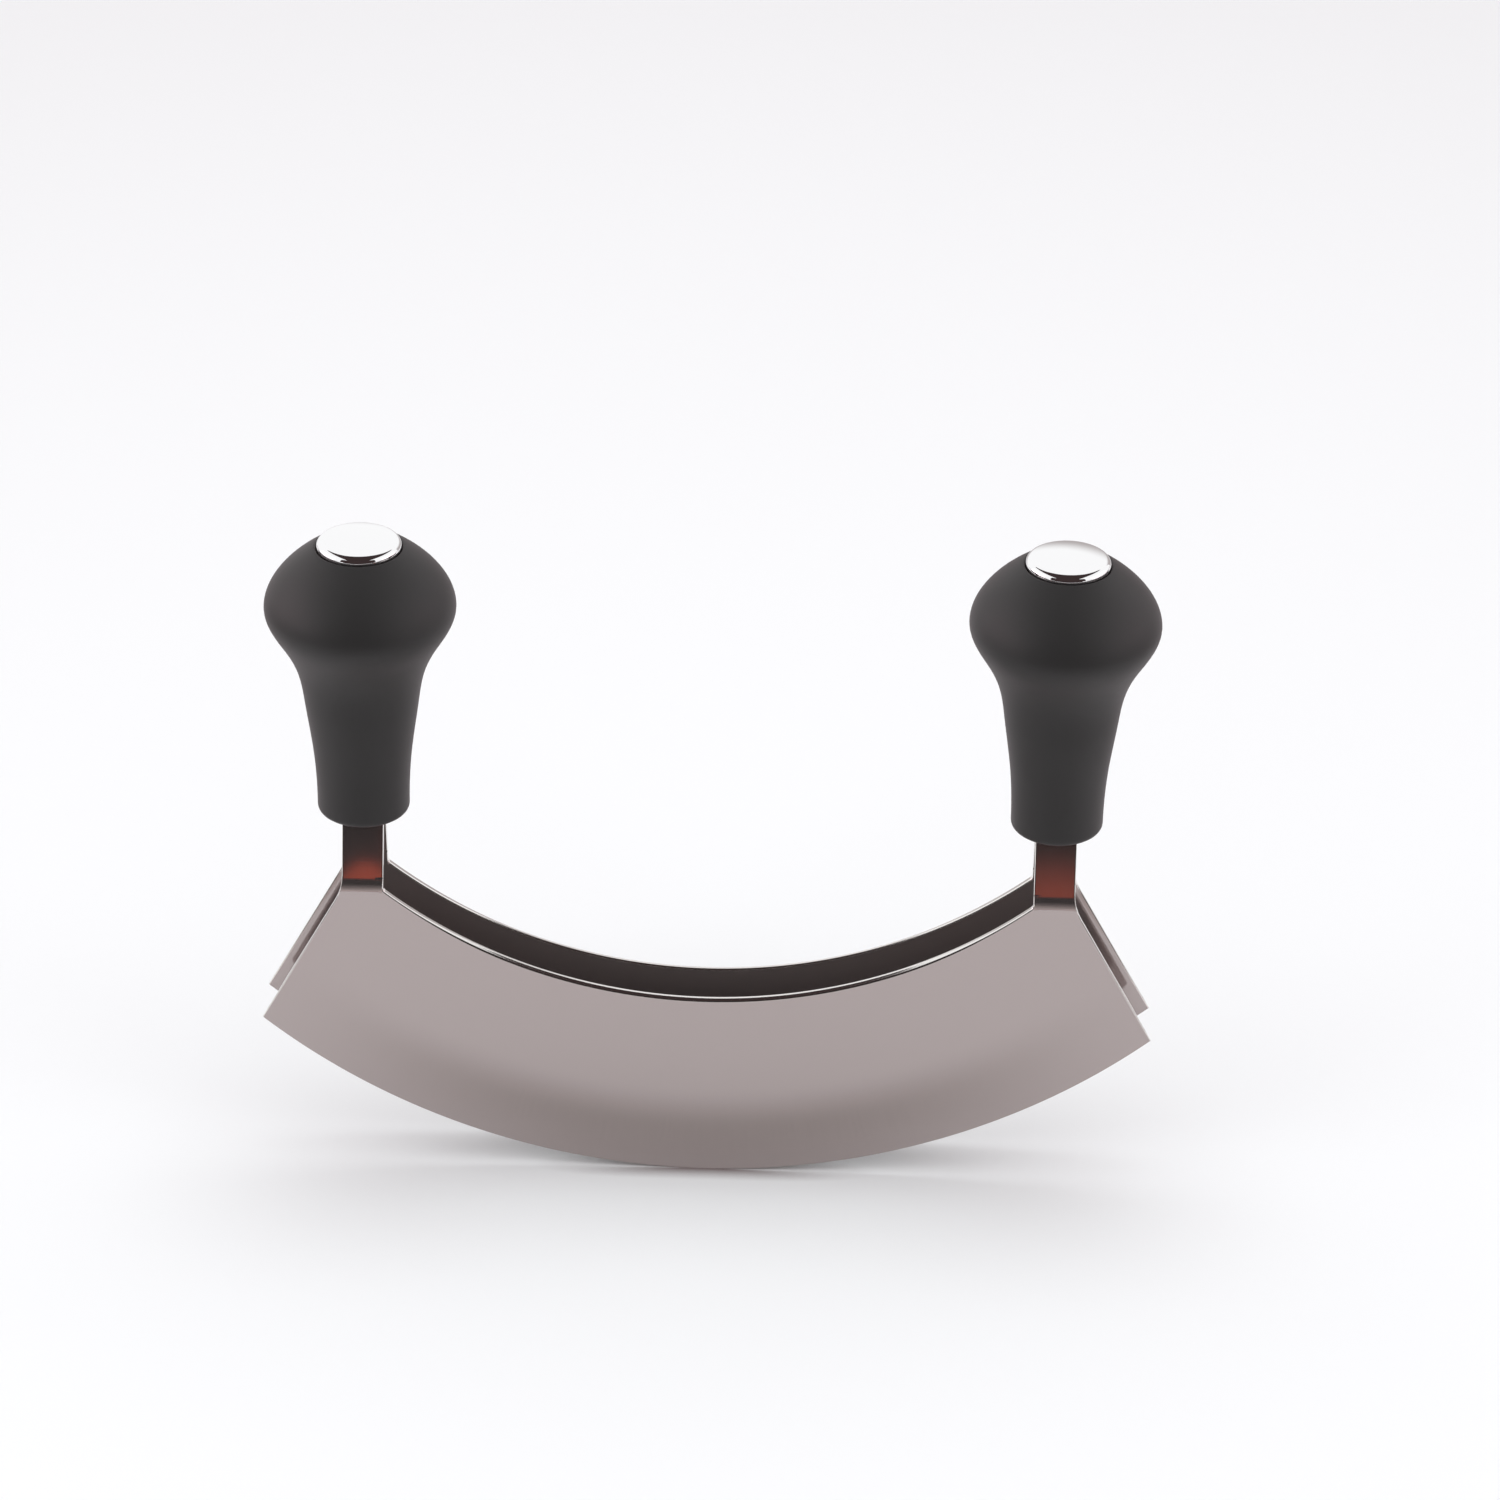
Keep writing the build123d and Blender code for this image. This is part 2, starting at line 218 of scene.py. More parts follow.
@dataclass(frozen=True)
class GroundSteel:
    """Stainless blade steel, belt ground along the sheet and across the edge's taper."""

    edge_radius: float
    taper_width: float
    name: str = "ground_stainless_steel"
    tone: str = "#b3a8a6"
    # darker tone of the taper: partly its duller grind, partly painted reflection of the shaded
    # floor
    taper_grind_and_shade_tone: str = "#9b908d"
    roughness: float = 0.08
    roughness_swing: float = 0.03
    scatter_roughness: float = 0.5
    scatter_metallic: float = 0.35
    scatter_share: float = 0.11
    grain_length: float = 9.0
    grain_depth: float = 5.0
    grain_width: float = 0.35  # real grit lines are finer; drawn as coarse as the render can show
    grain_bump: float = 0.05
    grain_detail: float = 2.0
    cross_grind_spacing: float = 0.8
    cross_grind_length: float = 14.0
    cross_grind_bump: float = 0.3  # as a share of the grain's
    cross_grind_scatter: float = 0.06
    cross_grind_detail: float = 3.0
    # where the taper's darker tone starts and where it is full, a tone that is partly its duller
    # grind and partly painted reflection of the shaded floor: two ramps over the distance in from
    # the edge, as shares of the taper's width, the second easing it again right at the edge, and
    # one over the angle along it, in radians
    border_shares: Point = (1.47, 0.73)
    edge_fade_shares: Point = (-0.4, 0.77)
    end_turns: Point = (0.80, 0.16)

    def material(self) -> Material:
        """Warm grey satin: a soft mirror with faint long grain, fainter lines across the edge, and
        a darker taper that is partly its duller grind and partly painted reflection of the shaded
        floor.

        Returns:
            The material.
        """
        made, tree = new_material(self.name)
        place = own_place(tree)
        sizes = (self.grain_length, self.grain_depth, self.grain_width)
        stretch = tuple(1 / (size * MM) for size in sizes)
        mapped = add_node(tree, "Mapping", {"Vector": place, "Scale": stretch}).outputs[0]
        grain = noise(tree, mapped, 1.0, self.grain_detail)
        taper, cross = self._taper_shade_and_lines(tree, place)
        rough = swing(tree, grain, self.roughness, self.roughness_swing)
        rough = calc(tree, "MULTIPLY_ADD", cross, self.roughness_swing, rough)
        height = calc(tree, "MULTIPLY_ADD", cross, self.cross_grind_bump, grain)
        # the taper's darker tone: partly its duller grind, partly painted reflection of the shaded
        # floor
        shared = {
            "Base Color": mix_tones(tree, taper, self.tone, self.taper_grind_and_shade_tone),
            "Normal": bump(tree, height, self.grain_bump),
        }
        lobes = []
        for metallic, roughness in ((1.0, rough), (self.scatter_metallic, self.scatter_roughness)):
            lobe = shared | {"Metallic": metallic, "Roughness": roughness}
            lobes.append(add_node(tree, "BsdfPrincipled", lobe).outputs[0])
        share = calc(tree, "MULTIPLY_ADD", cross, self.cross_grind_scatter, self.scatter_share)
        show(tree, add_node(tree, "MixShader", {0: share, 1: lobes[0], 2: lobes[1]}))
        return made

    def _taper_shade_and_lines(self, tree: Tree, place: Socket) -> tuple[Socket, Socket]:
        """Darker tone of the taper and the grinding lines across it, measured from the cutting
        edge's own arc.

        Args:
            tree: node tree that gets the nodes.
            place: place on the blade.

        Returns:
            The taper's darker tone, partly its duller grind and partly painted reflection of the
            shaded floor, fading up, to the edge and to both ends, and on it short lines that point
            at the arc's centre, both from 0 to 1.
        """
        axes = split(tree, place)
        drop = calc(tree, "SUBTRACT", self.edge_radius * MM, axes["Z"])
        reach = hypot(tree, axes["X"], drop)
        inward = calc(tree, "SUBTRACT", self.edge_radius * MM, reach)
        along = calc(tree, "ARCTAN2", axes["X"], drop)
        width = self.taper_width * MM
        ramps = [
            smooth_step(tree, inward, low * width, high * width)
            for low, high in (self.border_shares, self.edge_fade_shares)
        ]
        ends = smooth_step(tree, calc(tree, "ABSOLUTE", along), *self.end_turns)
        # mask of the taper's darker tone, part grind and part painted reflection of the shaded
        # floor
        taper = calc(tree, "MULTIPLY", calc(tree, "MULTIPLY", *ramps), ends)
        turn = calc(tree, "MULTIPLY", along, self.edge_radius / self.cross_grind_spacing)
        run = calc(tree, "MULTIPLY", inward, 1 / (self.cross_grind_length * MM))
        point = add_node(tree, "CombineXYZ", {"X": turn, "Y": run, "Z": 0.0}).outputs[0]
        lines = noise(tree, point, 1.0, self.cross_grind_detail)
        return taper, calc(tree, "MULTIPLY", lines, taper)


@dataclass(frozen=True)
class SoftTouchRubber:
    """Moulded thermoplastic rubber of the grips."""

    name: str = "moulded_soft_touch_rubber"
    tone: str = "#282727"
    roughness: float = 0.58
    roughness_swing: float = 0.08
    specular: float = 0.5
    sheen: float = 0.12
    sheen_roughness: float = 0.45
    sheen_tone: str = "#f0cfd2"
    texture_size: float = 0.35
    texture_bump: float = 0.12
    cloud_size: float = 14.0
    noise_detail: float = 2.0

    def material(self) -> Material:
        """Matte charcoal with a fine even moulded texture and a soft dusty sheen at the sides.

        Returns:
            The material.
        """
        made, tree = new_material(self.name)
        texture, cloud = (
            noise(tree, own_place(tree), 1 / (size * MM), self.noise_detail)
            for size in (self.texture_size, self.cloud_size)
        )
        inputs = {
            "Base Color": linear(self.tone),
            "Roughness": swing(tree, cloud, self.roughness, self.roughness_swing),
            "Specular IOR Level": self.specular,
            "Sheen Weight": self.sheen,
            "Sheen Roughness": self.sheen_roughness,
            "Sheen Tint": linear(self.sheen_tone),
            "Normal": bump(tree, texture, self.texture_bump),
        }
        show(tree, add_node(tree, "BsdfPrincipled", inputs))
        return made


@dataclass(frozen=True)
class PlainFinish:
    """An even surface whose gloss varies a little with its grain."""

    name: str
    tone: str
    roughness: float
    grain_size: float
    roughness_swing: float
    grain_detail: float
    metallic: float

    def material(self) -> Material:
        """Plain surface, metallic or not, with the faint unevenness of its making.

        Returns:
            The material.
        """
        made, tree = new_material(self.name)
        grain = noise(tree, own_place(tree), 1 / (self.grain_size * MM), self.grain_detail)
        inputs = {
            "Base Color": linear(self.tone),
            "Metallic": self.metallic,
            "Roughness": swing(tree, grain, self.roughness, self.roughness_swing),
        }
        show(tree, add_node(tree, "BsdfPrincipled", inputs))
        return made


@dataclass(frozen=True)
class PlainMetal(PlainFinish):
    """A metal with a fine machined or plated surface."""

    grain_size: float = 0.5
    roughness_swing: float = 0.05
    grain_detail: float = 3.0
    metallic: float = 1.0


@dataclass(frozen=True)
class PlainPlastic(PlainFinish):
    """A moulded plastic or rubber that hardly shows, dark and matte."""

    grain_size: float = 0.6
    roughness_swing: float = 0.1
    grain_detail: float = 2.0
    metallic: float = 0.0


# Meshes


def mesh_object(work: Work, name: str, materials: list[Material]) -> bpy.types.Object:
    """Turns a finished bmesh into an object of the scene.

    Args:
        work: the finished mesh.
        name: the object's name.
        materials: its finishes, in the order of the faces' material numbers.

    Returns:
        The new object.
    """
    mesh = bpy.data.meshes.new(name)
    work.to_mesh(mesh)
    work.free()
    for material in materials:
        mesh.materials.append(material)
    made = bpy.data.objects.new(name, mesh)
    bpy.context.scene.collection.objects.link(made)
    return made


def finish_mesh(
    work: Work,
    name: str,
    materials: list[Material],
    slot: str,
    *nodes: str,
    rounding: float = 0.0,
) -> bpy.types.Object:
    """Turns a finished bmesh, in millimetres, into a smooth piece that stands for CAD nodes.

    Args:
        work: the finished mesh.
        name: the piece's name.
        materials: its finishes, in the order of the faces' material numbers.
        slot: the record's material slot; not used.
        nodes: the CAD nodes that it replaces.
        rounding: radius, in millimetres, for an edge of bevel weight 1; 0 rounds nothing.

    Returns:
        The new object.
    """
    bmesh.ops.remove_doubles(work, verts=work.verts, dist=WELD)
    bmesh.ops.recalc_face_normals(work, faces=work.faces)
    bmesh.ops.scale(work, vec=(MM, MM, MM), verts=work.verts)
    piece = mesh_object(work, name, materials)
    piece.data.shade_smooth()
    piece.data.set_sharp_from_angle(angle=SHARP_ANGLE)
    if rounding:
        bevel = piece.modifiers.new("rounded_rim", "BEVEL")
        bevel.limit_method = "WEIGHT"
        bevel.width = rounding * MM
        bevel.segments = RIM_SEGMENTS
        bevel.material = Face.RIM
        bevel.use_clamp_overlap = False
        bevel.loop_slide = False
    weighted = piece.modifiers.new("weighted_normals", "WEIGHTED_NORMAL")
    weighted.keep_sharp = True
    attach(piece, "root")
    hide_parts(*nodes)
    log.info("%s: %d faces", name, len(piece.data.polygons))
    return piece


def lathe(outline: Line, steps: int) -> Work:
    """Turns a half outline about the Z axis.

    Args:
        outline: radius and height of each point; points on the axis become one pole.
        steps: number of faces round the turn.

    Returns:
        The turned mesh.
    """
    work = bmesh.new()
    points = [work.verts.new((radius, 0, height)) for radius, height in outline]
    edges = [work.edges.new(pair) for pair in zip(points, points[1:])]
    turn = {"cent": (0, 0, 0), "axis": (0, 0, 1), "angle": FULL_TURN, "steps": steps}
    bmesh.ops.spin(work, geom=points + edges, use_merge=True, use_duplicate=False, **turn)
    bmesh.ops.remove_doubles(work, verts=work.verts, dist=WELD)
    return work


def arc(centre: Point, radius: float, start: float, end: float, runs: int) -> Line:
    """Points on a circle from one angle to another, one more than the runs between them."""
    turns = [start + (end - start) * i / runs for i in range(runs + 1)]
    return [(centre[0] + radius * math.cos(t), centre[1] + radius * math.sin(t)) for t in turns]


def clamp(value: float) -> float:
    """The value, or the nearer of 0 and 1 if it lies outside them."""
    return min(max(value, 0.0), 1.0)


def smooth_line(points: Line, start: float, end: float, count: int) -> Line:
    """Smooth line of radius against height, the cubic spline through given points.

    Args:
        points: radius and height of the points that it passes through, height rising.
        start: change of radius for a unit of height at the first point.
        end: the same at the last point.
        count: number of runs that the line is cut into.

    Returns:
        Radius and height of the line's points.
    """
    last = len(points) - 1
    runs = [points[i + 1][1] - points[i][1] for i in range(last)]
    rises = [(points[i + 1][0] - points[i][0]) / runs[i] for i in range(last)]
    slopes = [start] + rises[1:] + [end]
    for _ in range(SPLINE_SWEEPS):
        for i in range(1, last):
            weight = 2 * (runs[i - 1] + runs[i])
            known = 3 * (runs[i] * rises[i - 1] + runs[i - 1] * rises[i])
            slopes[i] = (known - runs[i] * slopes[i - 1] - runs[i - 1] * slopes[i + 1]) / weight
    low, high = points[0][1], points[-1][1]
    line = []
    for i in range(count + 1):
        height = low + (high - low) * i / count
        k = max(j for j in range(last) if points[j][1] <= height + ROUNDING_ERROR)
        (r0, z0), (r1, _) = points[k], points[k + 1]
        t = (height - z0) / runs[k]
        radius = (
            (2 * t**3 - 3 * t**2 + 1) * r0
            + (t**3 - 2 * t**2 + t) * runs[k] * slopes[k]
            + (3 * t**2 - 2 * t**3) * r1
            + (t**3 - t**2) * runs[k] * slopes[k + 1]
        )
        line.append((radius, height))
    return line


# Blades


@dataclass
class Blade:
    """One crescent sheet with its two tangs, bent inwards towards the handles."""

    side: Side
    chord: float = 200.0
    edge_rise: float = 37.4
    height: float = 45.2
    end_height: float = 33.8
    shoulder_radius: float = 12.0
    inner_corner_radius: float = 1.2
    sheet: float = 1.5
    outer_face: float = 7.4
    tang_face: float = 3.0
    handle_x: float = 76.9
    tang_width: float = 9.2
    tang_insert: float = 24.0
    bend_lift: float = 0.7
    lean_height: float = 16.4
    bend_radius: float = 14.0
    upper_bend_radius: float = 3.0
    rim_round: float = 0.8
    tang_round: float = 0.32
    slant_round: float = 0.2
    inner_round: float = 0.4
    roll_width: float = 2.3
    roll_depth: float = 0.42
    taper_width: float = 15.0
    outer_taper_depth: float = 0.3
    bevel_height: float = 0.8
    bevel_thickness: float = 0.45
    edge_thickness: float = 0.1
    arc_columns: int = 34
    corner_columns: int = 4
    rise_columns: int = 2
    root_steps: tuple[float, ...] = (1.8, 3.6, 5.4, 7.1, 8.2, 9.2)
    rows: int = 30
    row_crowding: float = 1.15
    side_pull: int = 6
    bend_rows: int = 9
    bend_margin: float = 0.3
    # where the rim's rounding starts to shrink towards the tangs, and over what run, as shares of
    # the distance from the middle to a tang
    shrink_start: float = 0.6
    shrink_run: float = 0.38

    @property
    def edge_radius(self) -> float:
        """Radius of the cutting edge's arc."""
        return ((self.chord / 2) ** 2 + self.edge_rise**2) / (2 * self.edge_rise)

    @property
    def tang_inside(self) -> float:
        """X of the right tang's side towards the middle."""
        return self.handle_x - self.tang_width / 2

    @property
    def tang_outside(self) -> float:
        """X of its other side."""
        return self.handle_x + self.tang_width / 2

    @property
    def shoulder_height(self) -> float:
        """Height where the slanted end would reach the tang."""
        return self.edge_rise + self.end_height

    @property
    def bend_height(self) -> float:
        """Height where the tang starts to lean."""
        return self.shoulder_height + self.bend_lift

    @property
    def handle_base(self) -> float:
        """Height where the tang is upright again."""
        return self.bend_height + self.lean_height

    def build(self, finishes: list[Material]) -> bpy.types.Object:
        """Builds the blade.

        Args:
            finishes: finish of the outer face, of the rounded rim and of the inner face.

        Returns:
            The blade's object.
        """
        work = self._flat_sheet()
        self._cut_rows(work)
        bmesh.ops.solidify(work, geom=work.faces[:], thickness=self.sheet)
        self._mark_faces(work)
        self._weigh_rim(work)
        for vert in work.verts:
            vert.co.y = self._place(vert.co.x, vert.co.z, self._share(vert.co.y))
        name = f"{self.side.name.lower()}_blade"
        sheet = f"{name}_sheet"
        return finish_mesh(work, sheet, finishes, "blade_steel", name, rounding=self.rim_round)

    # Outline, as seen from the front

    def _top_contour(self) -> Line:
        """Right half of the top contour: arc, small corner, rise and the tang's root.

        Returns:
            X and Z of its points, from the middle outwards.
        """
        inner = self.tang_inside
        rise = self.shoulder_height - self.height
        radius = (inner**2 + rise**2) / (2 * rise)
        centre = self.height + radius
        corner = self.inner_corner_radius
        round_x = inner - corner
        touch = math.sqrt((radius - corner) ** 2 - round_x**2)
        round_z = centre - touch
        start = math.atan2(-touch, round_x)
        points = arc((0.0, centre), radius, -QUARTER, start, self.arc_columns)
        points += arc((round_x, round_z), corner, start, 0.0, self.corner_columns)[1:]
        root = self._root_height()
        for i in range(1, self.rise_columns + 1):
            points.append((inner, round_z + (root - round_z) * i / self.rise_columns))
        points += [(inner + step, root) for step in self.root_steps]
        return points

    def _slant(self) -> float:
        """Angle of the slanted end from upright."""
        return math.atan2(self.chord / 2 - self.tang_outside, self.end_height)

    def _root_height(self) -> float:
        """Height where the shoulder's rounding meets the tang's outer side."""
        return self.shoulder_height + self.shoulder_radius * math.tan(self._slant() / 2)

    def _side_contour(self, share: float) -> Point:
        """Point on the slanted end and the shoulder's rounding.

        Args:
            share: place along them, 0 at the blade's corner and 1 at the tang's root.

        Returns:
            X and Z of the point.
        """
        slant = self._slant()
        tangent = self.shoulder_radius * math.tan(slant / 2)
        straight = self.end_height / math.cos(slant) - tangent
        turn_length = self.shoulder_radius * slant
        reach = share * (straight + turn_length)
        half = self.chord / 2
        if reach <= straight:
            return half - reach * math.sin(slant), self.edge_rise + reach * math.cos(slant)
        turn = slant - (reach - straight) / self.shoulder_radius
        return (
            self.tang_outside + self.shoulder_radius - self.shoulder_radius * math.cos(turn),
            self._root_height() - self.shoulder_radius * math.sin(turn),
        )

    def _flat_sheet(self) -> Work:
        """Flat front view of the crescent and its tangs, in the XZ plane at y = 0.

        Returns:
            The sheet without its thickness.
        """
        top = self._top_contour()
        columns = len(top) - 1
        lengths = [0.0]
        for (x0, z0), (x1, z1) in zip(top, top[1:]):
            lengths.append(lengths[-1] + math.hypot(x1 - x0, z1 - z0))
        half_turn = math.asin(self.chord / 2 / self.edge_radius)
        work = bmesh.new()
        bmesh.ops.create_grid(work, x_segments=2 * columns, y_segments=self.rows, size=1.0)
        for vert in work.verts:
            column = round(abs(vert.co.x) * columns)
            hand = -1 if vert.co.x < 0 else 1
            share = ((vert.co.y + 1) / 2) ** self.row_crowding
            turn = half_turn * lengths[column] / lengths[-1]
            foot = (self.edge_radius * math.sin(turn), self.edge_radius * (1 - math.cos(turn)))
            head = top[column]
            side = self._side_contour(share)
            corner, root = self._side_contour(0.0), self._side_contour(1.0)
            pull = (column / columns) ** self.side_pull
            x = foot[0] + share * (head[0] - foot[0])
            z = foot[1] + share * (head[1] - foot[1])
            x += pull * (side[0] - corner[0] - share * (root[0] - corner[0]))
            z += pull * (side[1] - corner[1] - share * (root[1] - corner[1]))
            vert.co = Vector((hand * x, 0.0, z))
        self._extend_tangs(work)
        return work

    def _extend_tangs(self, work: Work) -> None:
        """Draws the tangs up from their roots.

        Args:
            work: the flat sheet.
        """
        root, inner = self._root_height(), self.tang_inside
        edges = [
            edge
            for edge in work.edges
            if all(abs(v.co.z - root) < WELD and abs(v.co.x) > inner - WELD for v in edge.verts)
        ]
        drawn = bmesh.ops.extrude_edge_only(work, edges=edges)["geom"]
        heads = [item for item in drawn if isinstance(item, bmesh.types.BMVert)]
        lift = self.handle_base + self.tang_insert - root
        bmesh.ops.translate(work, vec=(0, 0, lift), verts=heads)

    def _cut_rows(self, work: Work) -> None:
        """Adds level rows where the sheet bends.

        Args:
            work: the flat sheet.
        """
        half = math.tan(self._lean() / 2)
        for middle, radius in (
            (self.bend_height, self.bend_radius),
            (self.handle_base, self.upper_bend_radius),
        ):
            reach = (radius + self.sheet) * half + self.bend_margin
            for i in range(self.bend_rows):
                level = middle - reach + 2 * reach * i / (self.bend_rows - 1)
                geometry = work.verts[:] + work.edges[:] + work.faces[:]
                plane = {"plane_co": (0, 0, level), "plane_no": (0, 0, 1)}
                bmesh.ops.bisect_plane(work, geom=geometry, dist=SNAP, **plane)

    def _weigh_rim(self, work: Work) -> None:
        """Marks how far the rim is rounded, all but the cutting edge and the tang tops.

        Args:
            work: the sheet before it is bent.
        """
        weights = work.edges.layers.float.new("bevel_weight_edge")
        levels = sorted({round(v.co.y, DECIMALS) for v in work.verts}, key=abs)
        top = self.handle_base + self.tang_insert - NEAR
        for edge in work.edges:
            normals = [face.normal for face in edge.link_faces]
            if len(normals) != 2 or abs(normals[0].dot(normals[1])) > RIM_PRODUCT:
                continue
            middle = (edge.verts[0].co + edge.verts[1].co) / 2
            if self._on_edge(edge) or middle.z >= top:
                continue
            for level, inner in zip(levels, (False, True)):
                if all(abs(v.co.y - level) <= WELD for v in edge.verts):
                    edge[weights] = self._rounding(middle, inner) / self.rim_round

    def _rounding(self, middle: Vector, inner: bool) -> float:
        """Rounding of one edge of the rim.

        Args:
            middle: the edge's middle, in the sheet before it is bent.
            inner: True on the inner face.

        Returns:
            Radius in millimetres.
        """
        if abs(middle.x) > self.tang_outside - NEAR:
            rise = (middle.z - self.shoulder_height) / (self._root_height() - self.shoulder_height)
            share = clamp(rise) * (not inner)
            return self.slant_round + share * (self.tang_round - self.slant_round)
        if inner:
            return self.inner_round
        out = abs(middle.x) / self.tang_inside
        share = clamp((out - self.shrink_start) / self.shrink_run)
        share = share * share * (3 - 2 * share)
        return self.rim_round + share * (self.tang_round - self.rim_round)

    def _on_edge(self, item: bmesh.types.BMEdge | bmesh.types.BMFace) -> bool:
        """True for an edge or a face of the flat sheet that lies on the cutting edge."""
        return all(abs(self._inward(v.co.x, v.co.z)) < NEAR for v in item.verts)

    def _mark_faces(self, work: Work) -> None:
        """Gives the rim and the inner face their own material numbers.

        Args:
            work: the sheet before it is bent.
        """
        work.normal_update()
        for face in work.faces:
            if abs(face.normal.y) < FACE_NORMAL:
                face.material_index = Face.OUTER if self._on_edge(face) else Face.RIM
            elif all(self._share(v.co.y) > 0.5 for v in face.verts):
                face.material_index = Face.INNER

    def _roll(self, x: float, z: float) -> float:
        """Soft roll that punching leaves on the inner face along a slanted end.

        Args:
            x: place along the tool.
            z: height.

        Returns:
            Its depth there, in millimetres.
        """
        slant = self._slant()
        away = (self.chord / 2 - abs(x)) * math.cos(slant) - (z - self.edge_rise) * math.sin(slant)
        if z > self.shoulder_height or away > self.roll_width:
            return 0.0
        fade = min((self.shoulder_height - z) / self.roll_width, 1.0)
        return fade * self.roll_depth * (1 - max(away, 0.0) / self.roll_width) ** 2

    # Section through the sheet

    def _share(self, y: float) -> float:
        """Place between the faces of the flat sheet, 0 at the outer face and 1 at the inner."""
        return min(abs(y) / self.sheet, 1.0)

    def _inward(self, x: float, z: float) -> float:
        """Distance from the cutting edge towards its centre."""
        return self.edge_radius - math.hypot(x, self.edge_radius - z)

    def _lean(self) -> float:
        """Angle of the leaning stretch from upright."""
        return math.atan2(self.outer_face - self.tang_face, self.lean_height)

    def _bent(self, z: float, drop: float, lower: float, upper: float) -> float:
        """How far a face has moved inwards at a height.

        Args:
            z: height.
            drop: how far below the outer face's bends this face's bends lie.
            lower: radius of this face's lower bend.
            upper: radius of its upper bend.

        Returns:
            The move in millimetres.
        """
        lean = self._lean()
        slope = math.tan(lean)
        start = self.bend_height - drop
        end = self.handle_base - drop
        full = (end - start) * slope
        low_reach = lower * math.tan(lean / 2)
        high_reach = upper * math.tan(lean / 2)
        if z <= start - low_reach:
            return 0.0
        if z <= start + low_reach * math.cos(lean):
            rise = z - (start - low_reach)
            return lower - math.sqrt(max(lower**2 - rise**2, 0.0))
        if z <= end - high_reach * math.cos(lean):
            return (z - start) * slope
        if z <= end + high_reach:
            rise = end + high_reach - z
            return full - (upper - math.sqrt(max(upper**2 - rise**2, 0.0)))
        return full

    def _taper(self, distance: float, end: float, depth: float) -> float:
        """Depth ground off one face: an arc that starts level with the face.

        Args:
            distance: distance from the cutting edge.
            end: distance where the arc ends.
            depth: depth ground off there.

        Returns:
            The depth in millimetres.
        """
        run = self.taper_width - end
        radius = (run**2 + depth**2) / (2 * depth)
        reach = min(max(self.taper_width - distance, 0.0), run)
        return radius - math.sqrt(radius**2 - reach**2)

    def _place(self, x: float, z: float, share: float) -> float:
        """Place across the tool of a point of the sheet.

        Args:
            x: place along the tool.
            z: height.
            share: place through the sheet, from its outer to its inner face.

        Returns:
            The Y coordinate in millimetres.
        """
        distance = max(self._inward(x, z), 0.0)
        drop = self.sheet * math.tan(self._lean() / 2)
        low, high = self.bend_radius, self.upper_bend_radius
        outer = self._bent(z, 0.0, low + self.sheet, high) - self.outer_face
        inner = self._bent(z, drop, low, high + self.sheet) + self.sheet - self.outer_face
        outer += self._taper(distance, 0.0, self.outer_taper_depth)
        edge_face = self.outer_taper_depth - self.outer_face
        ground = self.sheet - self.outer_face - edge_face - self.bevel_thickness
        inner -= self._taper(distance, self.bevel_height, ground)
        if distance < self.bevel_height:
            fall = 1 - distance / self.bevel_height
            inner -= fall * (self.bevel_thickness - self.edge_thickness)
        inner = max(inner - self._roll(x, z), outer + self.edge_thickness)
        return -self.side.value * (outer + share * (inner - outer))


# Handles


